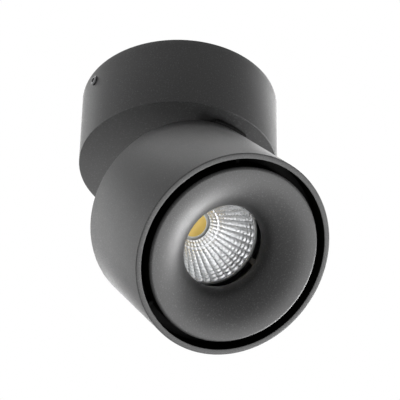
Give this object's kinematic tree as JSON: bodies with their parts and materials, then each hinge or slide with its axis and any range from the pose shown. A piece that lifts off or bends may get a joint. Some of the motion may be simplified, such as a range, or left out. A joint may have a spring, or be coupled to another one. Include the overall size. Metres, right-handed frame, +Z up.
{
  "type": "surface mounted ceiling spotlight",
  "caption": "Surface mounted ceiling spotlight: a round canopy with a swivelling, tilting cylindrical head, a deep trumpet-shaped anti-glare baffle and a fluted reflector.",
  "frame": {"origin": "middle of the ceiling face of the canopy, on the swivel axis, level with the ceiling; the light hangs below it", "axes": "+Z up into the ceiling along the swivel axis; X along the line of the two ceiling screw slots; Y along the line of the two canopy set screws; at rest the head is turned 8 degrees from +X and tilted 40 degrees"},
  "size_m": [0.1124, 0.091, 0.1311],
  "materials": {
    "charcoal_powder_coat": "fine textured matt powder coat on cast aluminium",
    "rear_powder_coat": "fine textured matt powder coat on aluminium sheet",
    "black_steel": "matt black coated steel",
    "zinc_plated_steel": "bright zinc plate",
    "black_oxide_screw": "black oxide",
    "brass_screw": "plain brass",
    "black_rubber": "matt",
    "white_plastic": "satin moulded",
    "circuit_board_green": "solder resist",
    "nylon": "natural nylon",
    "black_plastic": "matt",
    "sink_aluminium": "plain cast",
    "grey_pad": "soft silicone",
    "board_white": "white solder resist on an aluminium core",
    "phosphor_yellow": "silicone with phosphor",
    "holder_white": "satin moulded",
    "reflector_silver": "vacuum metallised, fluted"
  },
  "bodies": {
    "canopy": {"ceiling_plate": "zinc_plated_steel", "cable_grommet": "black_rubber", "canopy_shell": "charcoal_powder_coat", "canopy_set_screws": "black_oxide_screw", "driver_standoffs": "zinc_plated_steel", "driver_base": "white_plastic", "driver_board": "circuit_board_green", "driver_lid": "white_plastic", "driver_screws": "zinc_plated_steel", "terminal_block": "white_plastic", "terminal_clamp_screws": "brass_screw", "terminal_fixing_screws": "zinc_plated_steel", "earth_screw": "brass_screw", "swivel_stop_pin": "zinc_plated_steel", "slip_washer_lower": "nylon", "slip_washer_upper": "nylon"},
    "swivel_arm": {"hinge_bracket": "black_steel", "swivel_spindle": "zinc_plated_steel", "stop_washer": "zinc_plated_steel", "wave_washer": "zinc_plated_steel", "swivel_nut": "zinc_plated_steel"},
    "head": {"head_housing": "charcoal_powder_coat", "hinge_pin": "black_oxide_screw", "hinge_washers": "black_oxide_screw", "hinge_lock_nut": "black_oxide_screw", "heat_sink": "sink_aluminium", "heat_sink_screws": "zinc_plated_steel", "rear_cover": "rear_powder_coat", "rear_cover_screws": "black_oxide_screw", "lead_grommet": "black_rubber", "thermal_pad": "grey_pad", "led_board": "board_white", "led_emitter": "phosphor_yellow", "led_holder": "holder_white", "led_holder_screws": "zinc_plated_steel", "reflector": "reflector_silver", "baffle": "charcoal_powder_coat", "spacer_ring": "black_plastic"}
  },
  "joints": [
    {"name": "swivel", "type": "hinge", "parent": "canopy", "child": "swivel_arm", "pos_m": [0, 0, -0.035], "axis": [0, 0, 1], "range_deg": [-170, 170]},
    {"name": "tilt", "type": "hinge", "parent": "swivel_arm", "child": "head", "pos_m": [0.03436, 0.00483, -0.0464], "axis": [0.1392, -0.9903, 0], "range_deg": [-40, 50]}
  ]
}
